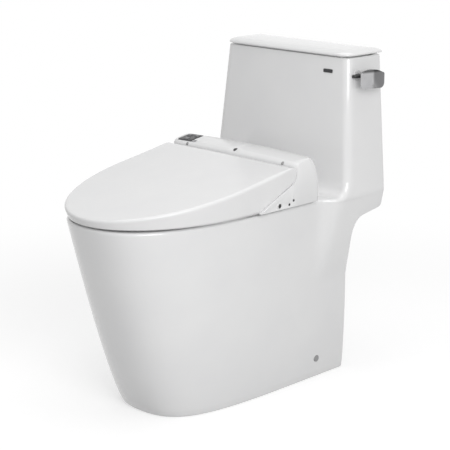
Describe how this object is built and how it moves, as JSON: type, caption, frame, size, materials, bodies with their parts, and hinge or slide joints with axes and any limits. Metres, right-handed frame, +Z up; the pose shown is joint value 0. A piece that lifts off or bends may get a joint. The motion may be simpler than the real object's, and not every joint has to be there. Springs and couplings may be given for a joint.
{
  "type": "toilet with bidet seat",
  "caption": "One-piece skirted toilet with sloped tank, side flush lever and a bidet seat whose lid and ring lift on a hidden hinge.",
  "frame": {"origin": "centre of the floor outlet, on the floor", "axes": "+X to the lever side, +Y to the wall behind the tank, +Z up"},
  "size_m": [0.4304, 0.7087, 0.7502],
  "materials": {
    "china": "glossy",
    "seat_plastic": "glossy",
    "soft_pads": "matte",
    "black_plastic": "matte",
    "structure_plastic": "matte",
    "valve_plastic": "matte",
    "clear_tube": "satin",
    "steel": "satin",
    "brass": "satin",
    "chrome": "polished",
    "trip_plastic": "matte",
    "nozzle_plastic": "glossy",
    "board": "matte",
    "panel": "glossy",
    "buttons": "glossy",
    "window": "glossy",
    "small_caps": "satin"
  },
  "bodies": {
    "pedestal": {"china_body": "china", "bowl_basin": "china", "trapway": "china", "housing_cover": "seat_plastic", "tank_lid_pads": "soft_pads", "mounting_sleeves": "soft_pads", "outlet_seal": "soft_pads", "flush_valve_gasket": "black_plastic", "fill_valve_washer": "black_plastic", "seat_sensor": "black_plastic", "housing_base": "structure_plastic", "mounting_plate": "structure_plastic", "nozzle_guide": "structure_plastic", "wash_pump": "structure_plastic", "heater_tank": "structure_plastic", "cord_gland": "structure_plastic", "lever_bush": "structure_plastic", "fill_valve_body": "valve_plastic", "fill_valve_cap": "valve_plastic", "fill_valve_nut": "valve_plastic", "flush_valve_base": "valve_plastic", "flush_tower": "valve_plastic", "lever_nut": "valve_plastic", "refill_tube": "clear_tube", "water_hoses": "clear_tube", "floor_brackets": "steel", "side_screws": "steel", "mounting_bolts": "steel", "hinge_pins": "steel", "inlet_valve": "brass", "water_inlet": "brass", "filter_ring": "chrome", "circuit_board": "board", "control_panel": "panel", "indicator_window": "window", "side_screw_caps": "small_caps", "filter_plug": "small_caps", "drain_plugs": "small_caps"},
    "tank_lid": {"tank_lid": "china"},
    "float": {"float_cup": "valve_plastic"},
    "canister": {"flush_canister": "valve_plastic", "canister_seal": "black_plastic"},
    "plunger": {"flush_plunger": "valve_plastic"},
    "lever": {"flush_handle": "chrome", "lever_stem": "black_plastic", "trip_arm": "trip_plastic"},
    "ring": {"seat_ring": "seat_plastic", "seat_ring_pads": "soft_pads"},
    "lid": {"seat_lid": "seat_plastic", "seat_lid_pads": "soft_pads"},
    "rear_nozzle": {"rear_nozzle": "nozzle_plastic", "rear_nozzle_tip": "nozzle_plastic"},
    "front_nozzle": {"front_nozzle": "nozzle_plastic", "front_nozzle_tip": "nozzle_plastic"},
    "stop_button": {"stop_button": "buttons"},
    "rear_wash_button": {"rear_wash_button": "buttons"},
    "front_wash_button": {"front_wash_button": "buttons"}
  },
  "joints": [
    {"name": "tank_lid_lift", "type": "slide", "parent": "pedestal", "child": "tank_lid", "axis": [0, 0, 1], "range_m": [0, 0.25]},
    {"name": "flush_lever_turn", "type": "hinge", "parent": "pedestal", "child": "lever", "pos_m": [0, 0.206, 0.695], "axis": [-1, 0, 0], "range_deg": [0, 26], "stiffness_Nm_per_rad": 0.6},
    {"name": "plunger_press", "type": "slide", "parent": "pedestal", "child": "plunger", "axis": [0, 0, -1], "range_m": [0, 0.012], "stiffness_N_per_m": 60},
    {"name": "canister_lift", "type": "slide", "parent": "pedestal", "child": "canister", "axis": [0, 0, 1], "range_m": [0, 0.024]},
    {"name": "float_rise", "type": "slide", "parent": "pedestal", "child": "float", "axis": [0, 0, 1], "range_m": [0, 0.105]},
    {"name": "seat_ring_hinge", "type": "hinge", "parent": "pedestal", "child": "ring", "pos_m": [0, -0.01, 0.5045], "axis": [1, 0, 0], "range_deg": [-95, 0]},
    {"name": "seat_lid_hinge", "type": "hinge", "parent": "ring", "child": "lid", "pos_m": [0, -0.01, 0.5045], "axis": [-1, 0, 0], "range_deg": [0, 100]},
    {"name": "rear_nozzle_slide", "type": "slide", "parent": "pedestal", "child": "rear_nozzle", "axis": [0, -0.9063, -0.4226], "range_m": [0, 0.1]},
    {"name": "front_nozzle_slide", "type": "slide", "parent": "pedestal", "child": "front_nozzle", "axis": [0, -0.9063, -0.4226], "range_m": [0, 0.1]},
    {"name": "stop_button_press", "type": "slide", "parent": "pedestal", "child": "stop_button", "axis": [0, 0.1666, -0.986], "range_m": [0, 0.0006], "stiffness_N_per_m": 300},
    {"name": "rear_wash_button_press", "type": "slide", "parent": "pedestal", "child": "rear_wash_button", "axis": [0, 0.1666, -0.986], "range_m": [0, 0.0006], "stiffness_N_per_m": 300},
    {"name": "front_wash_button_press", "type": "slide", "parent": "pedestal", "child": "front_wash_button", "axis": [0, 0.1666, -0.986], "range_m": [0, 0.0006], "stiffness_N_per_m": 300}
  ],
  "couplings": [
    {"joint": "plunger_press", "follows": "flush_lever_turn", "m_per_rad": 0.022},
    {"joint": "canister_lift", "follows": "flush_lever_turn", "m_per_rad": 0.0485}
  ]
}
